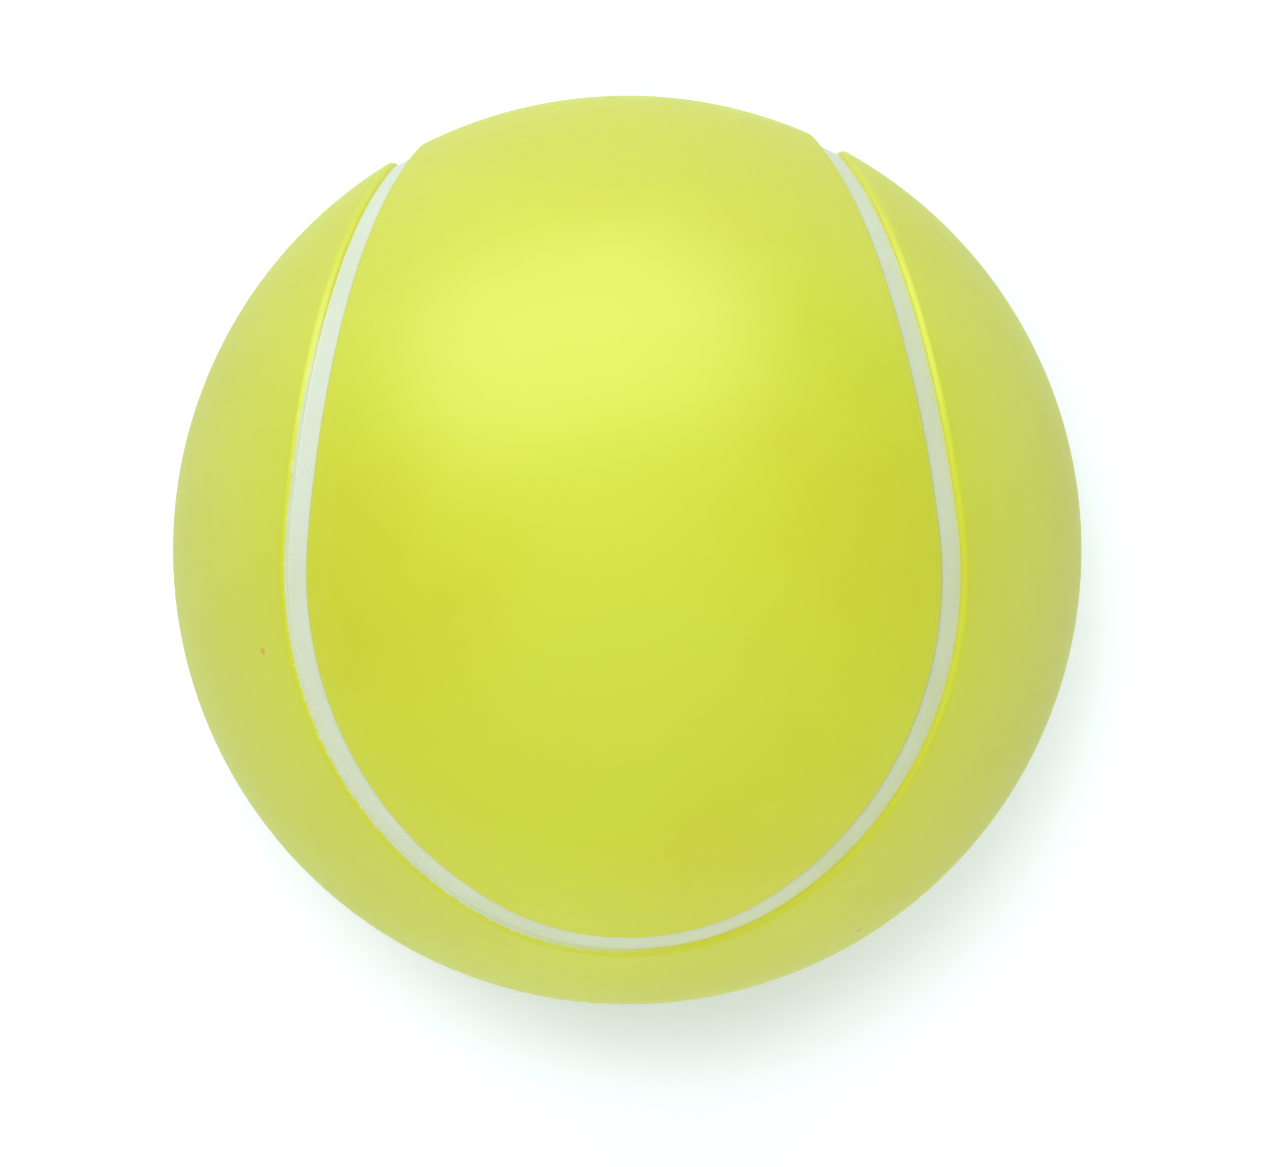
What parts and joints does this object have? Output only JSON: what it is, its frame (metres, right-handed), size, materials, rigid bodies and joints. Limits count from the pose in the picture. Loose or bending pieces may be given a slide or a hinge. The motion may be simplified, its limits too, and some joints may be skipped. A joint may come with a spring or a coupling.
{
  "type": "tennis ball",
  "caption": "Tennis ball with a hollow rubber core, interlocking yellow-green cover panels and a sunken white seam line",
  "frame": {"origin": "centre of the ball", "axes": "A lobe of panel A looks along +Z, upward, and the neck of panel A lies at +Y. The lobes of panel B look along X, and its neck lies at -Y."},
  "size_m": [0.067, 0.067, 0.067],
  "materials": {
    "core": "matte",
    "bond": "matte",
    "cement": "matte",
    "cover": "satin",
    "seam": "satin"
  },
  "bodies": {
    "root": {"core_half_upper": "core", "core_half_lower": "core", "core_bond": "bond", "cover_cement": "cement", "cover_panel_a": "cover", "cover_panel_b": "cover", "seam_line": "seam"}
  },
  "joints": []
}
